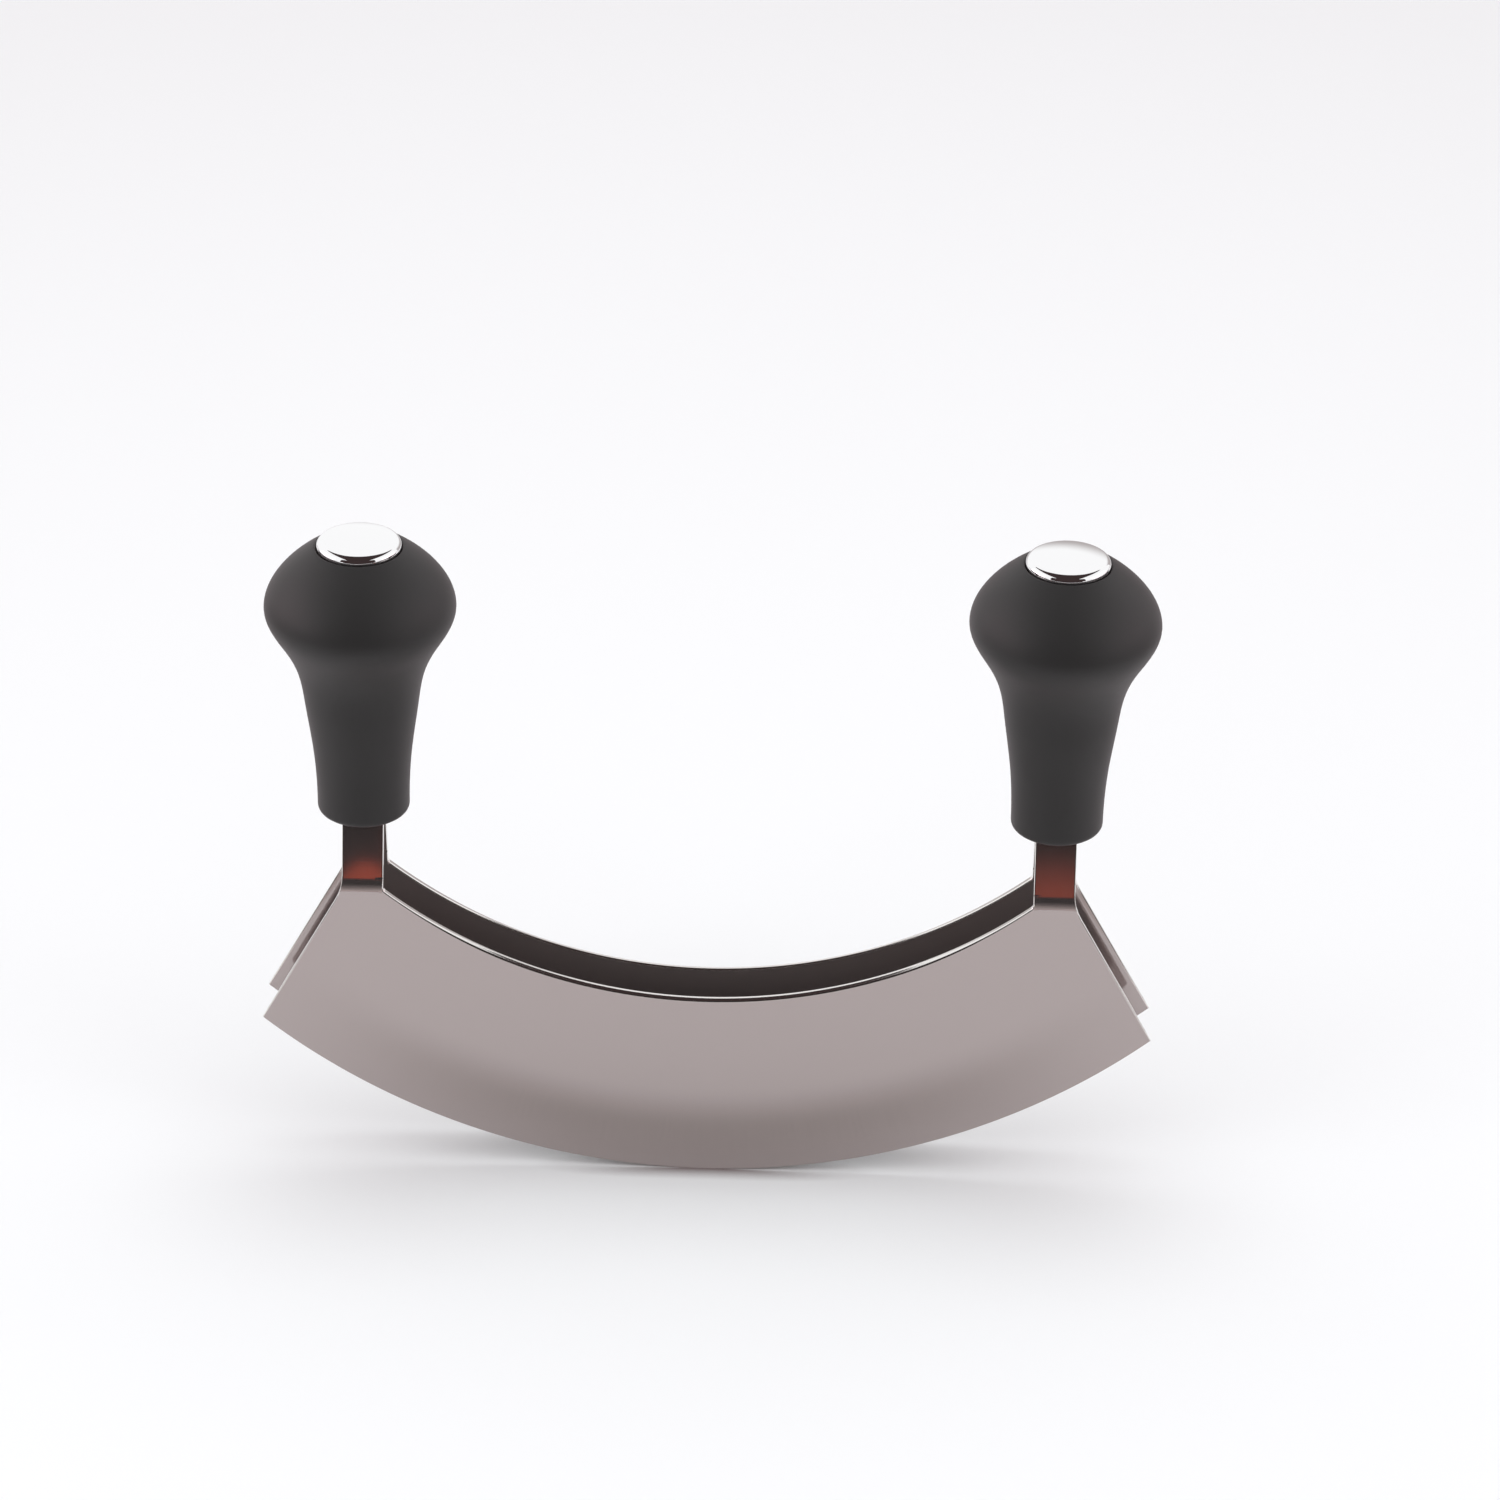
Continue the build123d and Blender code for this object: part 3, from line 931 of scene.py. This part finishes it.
@dataclass
class Handle:
    """Bulb-shaped handle: the soft grip and the domed cap on top."""

    hand: Hand
    x: float = 76.9
    base: float = 88.3
    base_radius: float = 10.2
    base_round: float = 1.5
    bulb_height: float = 50.5
    bulb_radius: float = 21.0
    crown_height: float = 14.4
    lip_width: float = 0.55
    skin: float = 1.8
    slot_width: float = 9.5
    slot_depth: float = 6.3
    flare_height_shares: tuple[float, ...] = (0.29, 0.53, 0.70, 0.83)
    flare_radius_shares: tuple[float, ...] = (0.060, 0.212, 0.360, 0.640)
    crown_height_share: float = 0.54
    crown_radius_share: float = 0.695
    lip_slope_share: float = 1.5
    lip_round: float = 0.15
    cap_radius: float = 9.3
    cap_seam: float = 0.20
    cap_sink: float = 1.0
    cap_wall: float = 1.3
    cap_shoulder: float = 1.5
    cap_slope: float = 14.0
    cap_skin: float = 0.8
    cap_skirt_depth: float = 4.0
    cap_skirt_radius: float = 6.95
    seal_thickness: float = 0.6
    cap_edge: float = 0.1
    turns: int = 128
    flare_runs: int = 44
    crown_runs: int = 20
    base_runs: int = 6
    shoulder_runs: int = 12
    dome_runs: int = 16
    slot_cuts: int = 7

    @property
    def prefix(self) -> str:
        """Start of the names of this handle's nodes."""
        return self.hand.name.lower()

    @property
    def lip_height(self) -> float:
        """Height of the lip above the handle's base."""
        return self.bulb_height + self.crown_height

    def build(self, rubber: Material, chrome: Material) -> None:
        """Builds the grip and the cap.

        Args:
            rubber: finish of the grip.
            chrome: finish of the cap.
        """
        for name, slot, node, material, work in (
            ("grip_skin", "grip_rubber", "grip", rubber, self._grip()),
            ("cap_dome", "cap_chrome", "end_cap", chrome, self._cap()),
        ):
            place = (self.hand.value * self.x, 0, self.base)
            bmesh.ops.translate(work, vec=place, verts=work.verts)
            finish_mesh(work, f"{self.prefix}_{name}", [material], slot, f"{self.prefix}_{node}")

    def _wall(self, inset: float, top_radius: float, top: float) -> Line:
        """One face of the skin: base rounding, flare to the widest point, crown in to the lip.

        Args:
            inset: how far the face lies inside the grip's outside.
            top_radius: radius where it ends.
            top: height where it ends.

        Returns:
            Radius and height of its points.
        """
        foot, bulb = self.base_radius - inset, self.bulb_radius - inset
        centre = (foot - self.base_round, inset + self.base_round)
        line = arc(centre, self.base_round, -QUARTER, 0.0, self.base_runs)[:-1]
        flare = [(foot, inset + self.base_round)]
        for up, out in zip(self.flare_height_shares, self.flare_radius_shares):
            flare.append((foot + out * (bulb - foot), inset + up * (self.bulb_height - inset)))
        flare.append((bulb, self.bulb_height))
        line += smooth_line(flare, 0.0, 0.0, self.flare_runs)
        middle = (
            top_radius + self.crown_radius_share * (bulb - top_radius),
            self.bulb_height + self.crown_height_share * (top - self.bulb_height),
        )
        crown = [(bulb, self.bulb_height), middle, (top_radius, top)]
        return line + smooth_line(crown, 0.0, -self.lip_slope_share, self.crown_runs)[1:]

    def _grip(self) -> Work:
        """Soft skin: outside, lip, bore for the cap, inside, and the slot for the tangs.

        Returns:
            The mesh, with its base at height 0.
        """
        bore = self.cap_radius + self.cap_seam
        seat = self.lip_height - self.cap_sink - self.seal_thickness
        outside = self._wall(0.0, bore + self.lip_width, self.lip_height)
        inside = self._wall(self.skin, bore, seat)
        top = [(bore + self.lip_round, self.lip_height), (bore, self.lip_height - self.lip_round)]
        work = lathe(outside + top + inside[::-1], self.turns)
        self._add_slot(work)
        return work

    def _add_slot(self, work: Work) -> None:
        """Closes the base round the slot that the tangs go through.

        Args:
            work: the turned skin, open at its base.
        """
        rims = [edge for edge in work.edges if len(edge.link_faces) == 1]
        slots = []
        for level in (0.0, self.skin):
            corners = [
                work.verts.new((x * self.slot_width / 2, y * self.slot_depth / 2, level))
                for x, y in ((-1, -1), (1, -1), (1, 1), (-1, 1))
            ]
            slot = [work.edges.new((corners[i], corners[(i + 1) % 4])) for i in range(4)]
            cut = bmesh.ops.subdivide_edges(work, edges=slot, cuts=self.slot_cuts)
            slot_edges = [item for item in cut["geom"] if isinstance(item, bmesh.types.BMEdge)]
            rim = [edge for edge in rims if abs(edge.verts[0].co.z - level) < WELD]
            bmesh.ops.bridge_loops(work, edges=rim + slot_edges)
            slots += slot_edges
        bmesh.ops.bridge_loops(work, edges=slots)

    def _cap(self) -> Work:
        """Cap: wall, rounded shoulder, shallow dome and the skirt in the pocket.

        Returns:
            The mesh, at its height above the handle's base.
        """
        slope = math.radians(self.cap_slope)
        seat = self.lip_height - self.cap_sink
        wall_top = seat + self.cap_wall
        wall_foot = (self.cap_radius - self.cap_edge, seat)
        shoulder = (self.cap_radius - self.cap_shoulder, wall_top)
        outline = [wall_foot, (self.cap_radius, seat + self.cap_edge)]
        outline += arc(shoulder, self.cap_shoulder, 0.0, QUARTER - slope, self.shoulder_runs)
        end_radius, end_height = outline[-1]
        dome_radius = end_radius / math.sin(slope)
        middle = (0.0, end_height - dome_radius * math.cos(slope))
        outline += arc(middle, dome_radius, QUARTER - slope, QUARTER, self.dome_runs)[1:]
        ceiling = end_height - self.cap_skin
        skirt_inside = self.cap_skirt_radius - self.cap_skin
        skirt_end = seat - self.cap_skirt_depth
        outline += [(0.0, ceiling), (skirt_inside, ceiling), (skirt_inside, skirt_end)]
        outline += [(self.cap_skirt_radius, skirt_end), (self.cap_skirt_radius, seat), wall_foot]
        return lathe(outline, self.turns)


# CAD nodes that stay as they are


@dataclass(frozen=True)
class HiddenHardware:
    """Finishes of the CAD nodes inside the handles, by the end of the node's name."""

    finishes: tuple[tuple[str, PlainFinish], ...] = (
        # ABS moulding, dull and even, never seen once the grip is on
        ("handle_core", PlainPlastic("moulded_abs_core", "#3a3a3a", 0.55)),
        # turned steel, a bright satin from the lathe
        ("tang_stud", PlainMetal("turned_steel_stud", "#b9b9b8", 0.32)),
        # pressed stainless steel, smooth on the flush heads
        ("tang_rivets", PlainMetal("pressed_steel_rivet", "#c0bfbd", 0.25)),
        # zinc plate, pale and slightly cloudy
        ("flat_washer", PlainMetal("zinc_plated_washer", "#bfc1c4", 0.38, 1.5, 0.12)),
        # tempered spring steel, dark with a low gloss
        ("lock_washer", PlainMetal("tempered_spring_steel", "#77777a", 0.42)),
        # zinc plate again, a little glossier on the machined flats
        ("hex_nut", PlainMetal("zinc_plated_nut", "#bfc1c4", 0.34, 1.5, 0.12)),
        # nitrile rubber, the dark line round the cap
        ("cap_seal", PlainPlastic("moulded_nitrile_seal", "#2c2a2a", 0.6)),
    )

    def dress(self) -> None:
        """Puts each finish on its nodes."""
        for ending, finish in self.finishes:
            material = finish.material()
            for name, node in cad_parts.items():
                if name.endswith(ending):
                    node.data.materials.clear()
                    node.data.materials.append(material)
                    log.info("%s: %s", name, material.name)


# Studio


@dataclass(frozen=True)
class Card:
    """Upright card: both ends of its foot in X and Y, its foot's height and its own."""

    name: str
    start: Point
    end: Point
    foot: float
    height: float


@dataclass(frozen=True)
class Glow:
    """Oval spot on a card: middle and reach in X and Z, share of it that fades, and strength."""

    centre: Point
    reach: Point
    softness: float
    strength: float


@dataclass(frozen=True)
class Lamp:
    """Square softbox: where it stands, the spot that it points at, its width and power."""

    name: str
    place: Place
    aim: Place
    size: float
    power: float


@dataclass
class Studio:
    """Camera, pale floor, soft lamps, white surround, and the cards that metal and gloss mirror."""

    # the camera that was fitted to the photograph: degrees, millimetres and pixels
    elevation: float = 28.954
    azimuth: float = 1.105
    roll: float = 0.979
    distance: float = 1304.0
    target: Place = (8.650, 0.0, 105.368)
    focal_pixels: float = 5912.995
    picture_width: float = 1500.0
    sensor: float = 36.0
    clip: Point = (0.05, 50.0)
    white: str = "#fdfeff"
    ambient: float = 0.67
    ambient_tone: str = "#fff7f9"
    # the floor, what diffuse rays see of it, and the painted contact shadow where the edges touch
    # it
    floor_half: float = 4.0
    floor_cells: int = 8
    floor_tone: str = "#f2f2f3"
    floor_lift: float = 0.03
    lift_tone: str = "#ffffff"
    # painted shade on the object: diffuse rays see the floor darker, so it bounces less light
    spill_tone: str = "#bababb"
    painted_shadow_tone: str = "#583838"
    painted_shadow_reach: float = 0.005
    painted_shadow_gain: float = 1.8
    painted_shadow_samples: int = 8
    near_cards: tuple[Card, ...] = (
        Card("front_card", (-0.35, -0.16), (0.35, -0.16), 0.0, 0.1),
        Card("left_card", (-0.35, -0.16), (-0.35, 0.2), 0.0, 0.1),
        Card("right_card", (0.35, -0.16), (0.35, 0.2), 0.0, 0.1),
    )
    # their tone, their paler foot, and the warm glows in the tangs' reflections
    near_tone: str = "#272424"
    foot_tone: str = "#e8e0df"
    foot_fade: Point = (0.045, 0.0)
    glow_tone: str = "#cc5a3e"
    glow_base: Point = (0.0690, 0.0700)
    glows: tuple[Glow, ...] = (
        Glow((-0.0886, 0.0690), (0.0074, 0.0088), 0.15, 1.0),
        Glow((-0.0840, 0.0800), (0.0014, 0.0160), 0.8, 0.15),
        Glow((0.0830, 0.0705), (0.0300, 0.0165), 1.0, 0.72),
    )
    room_tone: str = "#3a3030"
    room_cards: tuple[Card, ...] = (
        Card("room_desk", (-0.46, -0.53), (0.46, -0.53), 0.0, 0.16),
        Card("room_wall", (-1.4, -1.35), (1.4, -1.35), 0.0, 1.3),
    )
    ceiling_height: float = 1.3
    # right half of the ceiling's outline, from the middle of its far side
    ceiling_half: tuple[Point, ...] = (
        (0.0, 0.62), (0.35, 0.66), (0.60, 0.88), (0.85, 1.25), (0.85, -2.6)
    )
    back_card: Card = Card("back_card", (-0.30, 0.25), (0.30, 0.25), 0.09, 0.36)
    back_grey: str = "#b4aeae"
    back_slope: float = -0.4
    back_fade: Point = (0.225, 0.12)
    side_cards: tuple[Card, ...] = (
        Card("left_bright_card", (-1.2, -0.6), (-1.2, 0.5), 0.16, 0.6),
        Card("right_bright_card", (1.2, -0.6), (1.2, 0.5), 0.16, 0.6),
    )
    side_strengths: Point = (2.5, 1.7)
    side_tone: str = "#ffeaee"
    lamps: tuple[Lamp, ...] = (
        Lamp("overhead", (0.0, 0.12, 1.2), (0.0, 0.0, 0.0), 1.8, 6.7),
        Lamp("contact", (0.0, 0.10, 1.15), (0.0, 0.0, 0.0), 0.4, 1.5),
        Lamp("left", (-0.90, -0.55, 0.45), (0.0, 0.0, 0.10), 0.7, 2.2),
        Lamp("right", (0.90, -0.50, 0.45), (0.0, 0.0, 0.10), 0.7, 1.7),
    )
    lamp_tone: str = "#f4ffff"

    def build(self) -> None:
        """Sets up everything round the object."""
        bpy.context.scene.view_settings.view_transform = "Standard"
        self._camera()
        self._surround()
        self._floor()
        self._near_cards()
        self._room()
        self._back_card()
        self._side_cards()
        self._lamps()

    def _camera(self) -> None:
        """Camera at the photograph's place and angle."""
        el, az, roll = (math.radians(a) for a in (self.elevation, self.azimuth, self.roll))
        back = Vector((math.sin(az) * math.cos(el), -math.cos(az) * math.cos(el), math.sin(el)))
        right = Vector((math.cos(az), math.sin(az), 0.0))
        up = back.cross(right)
        across = math.cos(roll) * right + math.sin(roll) * up
        upward = math.cos(roll) * up - math.sin(roll) * right
        data = bpy.data.cameras.new("camera")
        data.sensor_width = self.sensor
        data.sensor_fit = "HORIZONTAL"
        data.lens = self.sensor * self.focal_pixels / self.picture_width
        data.clip_start, data.clip_end = self.clip
        camera = bpy.data.objects.new("camera", data)
        turn = Matrix((across, upward, back)).transposed().to_4x4()
        place = Matrix.Translation((Vector(self.target) + back * self.distance) * MM)
        camera.matrix_world = place @ turn
        bpy.context.scene.collection.objects.link(camera)
        bpy.context.scene.camera = camera

    def _surround(self) -> None:
        """White for the camera and for mirrored rays, a plain ambient level for the rest."""
        world = bpy.data.worlds.new("surround")
        world.use_nodes = True
        tree = world.node_tree
        tree.nodes.clear()
        path = add_node(tree, "LightPath").outputs
        lit = calc(tree, "MINIMUM", path["Diffuse Depth"], 1.0)
        unlit = calc(tree, "SUBTRACT", 1.0, lit)
        mirrored = calc(tree, "MULTIPLY", path["Is Glossy Ray"], unlit)
        seen = calc(tree, "ADD", path["Is Camera Ray"], mirrored)
        seen = calc(tree, "ADD", seen, path["Is Transmission Ray"])
        seen = calc(tree, "MINIMUM", seen, 1.0)
        strength = calc(tree, "MULTIPLY_ADD", seen, 1.0 - self.ambient, self.ambient)
        tone = mix_tones(tree, seen, self.ambient_tone, self.white)
        light = add_node(tree, "Background", {"Color": tone, "Strength": strength})
        add_node(tree, "OutputWorld", {"Surface": light.outputs[0]})
        bpy.context.scene.world = world

    def _floor(self) -> None:
        """Matte white sweep that keeps the object's shadow, with a painted contact shadow where the
        edges touch it.
        """
        made, tree = new_material("white_paper_sweep")
        path = add_node(tree, "LightPath").outputs
        # painted contact shadow: ambient occlusion darkens the floor's colour near the edges, for
        # camera rays only
        inputs, settings = {"Distance": self.painted_shadow_reach}, {"samples": self.painted_shadow_samples}
        near = add_node(tree, "AmbientOcclusion", inputs, settings)
        painted_shadow_share = calc(tree, "SUBTRACT", 1.0, near.outputs["AO"])
        gain = calc(tree, "MULTIPLY", path["Is Camera Ray"], self.painted_shadow_gain)
        painted_shadow_share = calc(tree, "MULTIPLY", painted_shadow_share, gain)
        tone = mix_tones(tree, painted_shadow_share, self.floor_tone, self.painted_shadow_tone)
        # painted shade: diffuse rays see the floor darker, so it bounces less light onto the object
        tone = mix_tones(tree, path["Is Diffuse Ray"], tone, self.spill_tone)
        paper = add_node(tree, "BsdfDiffuse", {"Color": tone, "Roughness": 0.0})
        lift = calc(tree, "MULTIPLY", path["Is Camera Ray"], self.floor_lift)
        glow = emission(tree, linear(self.lift_tone), lift)
        show(tree, add_node(tree, "AddShader", {0: paper.outputs[0], 1: glow.outputs[0]}))
        work = bmesh.new()
        cells = self.floor_cells
        bmesh.ops.create_grid(work, x_segments=cells, y_segments=cells, size=self.floor_half)
        mesh_object(work, "floor", [made])

    def _near_cards(self) -> None:
        """Low dark cards round the object, with the dim brown glows that the tangs mirror."""
        made, tree = new_material("dark_studio_card")
        axes = split(tree, own_place(tree))
        base = smooth_step(tree, axes["Z"], *self.glow_base)
        light = 0.0
        for glow in self.glows:
            shares = []
            for axis, middle, half in zip("XZ", glow.centre, glow.reach):
                away = calc(tree, "SUBTRACT", axes[axis], middle)
                shares.append(calc(tree, "DIVIDE", away, half))
            spot = smooth_step(tree, hypot(tree, *shares), 1.0, 1.0 - glow.softness)
            light = calc(tree, "MULTIPLY_ADD", spot, glow.strength, light)
        light = calc(tree, "MULTIPLY", light, base)
        foot = smooth_step(tree, axes["Z"], *self.foot_fade)
        tone = mix_tones(tree, light, self.near_tone, self.glow_tone)
        tone = mix_tones(tree, foot, tone, self.foot_tone)
        show(tree, emission(tree, tone))
        for card in self.near_cards:
            self._card(card, made)

    def _room(self) -> None:
        """The unlit room: desk and wall behind the camera, and the ceiling above it."""
        made, tree = new_material("unlit_room")
        show(tree, emission(tree, linear(self.room_tone)))
        for card in self.room_cards:
            self._card(card, made)
        outline = [*self.ceiling_half] + [(-x, y) for x, y in self.ceiling_half[:0:-1]]
        self._mirror_card("room_ceiling", [(x, y, self.ceiling_height) for x, y in outline], made)

    def _back_card(self) -> None:
        """White card behind the handles, grey low down and to the right, for the caps' far rims."""
        made, tree = new_material("grey_edged_card")
        axes = split(tree, own_place(tree))
        level = calc(tree, "MULTIPLY_ADD", axes["X"], self.back_slope, axes["Z"])
        grey = smooth_step(tree, level, *self.back_fade)
        show(tree, emission(tree, mix_tones(tree, grey, self.white, self.back_grey)))
        self._card(self.back_card, made)

    def _side_cards(self) -> None:
        """A bright card far out at each side, for the soft gloss on the bulbs."""
        for card, strength in zip(self.side_cards, self.side_strengths):
            made, tree = new_material(card.name)
            show(tree, emission(tree, linear(self.side_tone), strength))
            self._card(card, made)

    def _card(self, card: Card, material: Material) -> None:
        """Sets up an upright card.

        Args:
            card: the card.
            material: its finish.
        """
        (x0, y0), (x1, y1) = card.start, card.end
        top = card.foot + card.height
        corners = [(x0, y0, card.foot), (x1, y1, card.foot), (x1, y1, top), (x0, y0, top)]
        self._mirror_card(card.name, corners, material)

    def _mirror_card(self, name: str, corners: list[Place], material: Material) -> None:
        """Makes a flat card that only mirrored rays see.

        Args:
            name: its name.
            corners: its corners, in order.
            material: its finish.
        """
        work = bmesh.new()
        work.faces.new([work.verts.new(corner) for corner in corners])
        bmesh.ops.triangulate(work, faces=work.faces)
        card = mesh_object(work, name, [material])
        for kind in ("camera", "diffuse", "transmission", "volume_scatter", "shadow"):
            setattr(card, f"visible_{kind}", False)

    def _lamps(self) -> None:
        """Softboxes that glossy rays don't see."""
        for lamp in self.lamps:
            data = bpy.data.lights.new(lamp.name, "AREA")
            data.shape = "SQUARE"
            data.size = lamp.size
            data.energy = lamp.power
            data.color = linear(self.lamp_tone)[:3]
            made = bpy.data.objects.new(lamp.name, data)
            made.visible_glossy = False
            made.location = lamp.place
            way = Vector(lamp.aim) - Vector(lamp.place)
            made.rotation_euler = way.to_track_quat("-Z", "Y").to_euler()
            bpy.context.scene.collection.objects.link(made)


def main() -> None:
    """Builds the object and the studio in order."""
    logging.basicConfig(level=logging.INFO, format="%(name)s %(message)s")
    front = Blade(Side.FRONT)
    steel = GroundSteel(front.edge_radius, front.taper_width).material()
    # the inner faces keep more of the mill's haze than the polished outer ones
    haze = {"name": "hazy_stainless_inside", "scatter_share": 0.25}
    inside = GroundSteel(front.edge_radius, front.taper_width, **haze).material()
    rubber = SoftTouchRubber().material()
    # stainless steel buffed on a wheel: brighter and smoother than the ground faces
    rim = PlainMetal("buffed_stainless_rim", "#f1edea", 0.14, 1.2, 0.05).material()
    # chromium on brass, polished: a near perfect mirror
    chrome = PlainMetal("polished_chromium_plate", "#fbfafa", 0.04, 2.0, 0.02).material()
    for side in Side:
        Blade(side).build([steel, rim, inside])
    for hand in Hand:
        Handle(hand).build(rubber, chrome)
    HiddenHardware().dress()
    Studio().build()
    bpy.context.view_layer.update()


if __name__ == "__main__":
    main()
